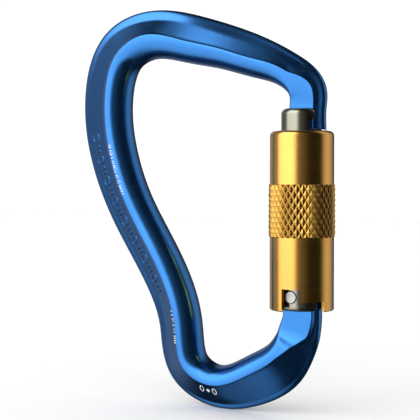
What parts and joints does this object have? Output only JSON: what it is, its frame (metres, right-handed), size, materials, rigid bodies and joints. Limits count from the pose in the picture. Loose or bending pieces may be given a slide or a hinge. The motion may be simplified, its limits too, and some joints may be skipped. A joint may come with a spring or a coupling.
{
  "type": "locking carabiner",
  "caption": "Pear-shaped forged locking carabiner with a keylock nose, an inward hinged gate and a knurled lift-and-twist sleeve.",
  "frame": {"origin": "centre of the bounding box of the closed carabiner", "axes": "+Z from the narrow bow to the wide bow along the longest extent, +X from the spine to the gate, +Y the thickness"},
  "size_m": [0.0827, 0.0182, 0.1158],
  "materials": {
    "anodised_blue": "polished and anodised blue",
    "anodised_gold": "turned and anodised gold",
    "gunmetal": "polished dark gunmetal",
    "rivet_zinc": "satin white metal",
    "plunger_brass": "turned",
    "spring_steel": "drawn wire",
    "collar_steel": "blackened",
    "ring_steel": "stamped",
    "washer_brass": "stamped",
    "bush_plastic": "moulded acetal"
  },
  "bodies": {
    "frame": {"frame": "anodised_blue"},
    "gate": {"gate_barrel": "gunmetal", "hinge_rivet": "rivet_zinc", "gate_spring": "spring_steel", "spring_collar": "collar_steel", "retaining_ring": "ring_steel", "thrust_washer": "washer_brass", "sleeve_spring": "spring_steel"},
    "plunger": {"gate_plunger": "plunger_brass"},
    "glide": {"glide_bush": "bush_plastic"},
    "sleeve": {"locking_sleeve": "anodised_gold"}
  },
  "joints": [
    {"name": "gate_swing", "type": "hinge", "parent": "frame", "child": "gate", "pos_m": [0.0315, 0, -0.0242], "axis": [0, -1, 0], "range_deg": [0, 25]},
    {"name": "plunger_slide", "type": "slide", "parent": "gate", "child": "plunger", "axis": [0, 0, 1], "range_m": [0, 0.00096], "deforming": ["gate_spring"]},
    {"name": "sleeve_lift", "type": "slide", "parent": "gate", "child": "glide", "axis": [0, 0, 1], "range_m": [0, 0.004], "deforming": ["sleeve_spring"]},
    {"name": "sleeve_twist", "type": "hinge", "parent": "glide", "child": "sleeve", "pos_m": [0.0318, 0, 0], "axis": [0, 0, 1], "range_deg": [-75, 0]}
  ],
  "couplings": [
    {"joint": "plunger_slide", "follows": "gate_swing", "m_per_rad": 0.0022}
  ]
}
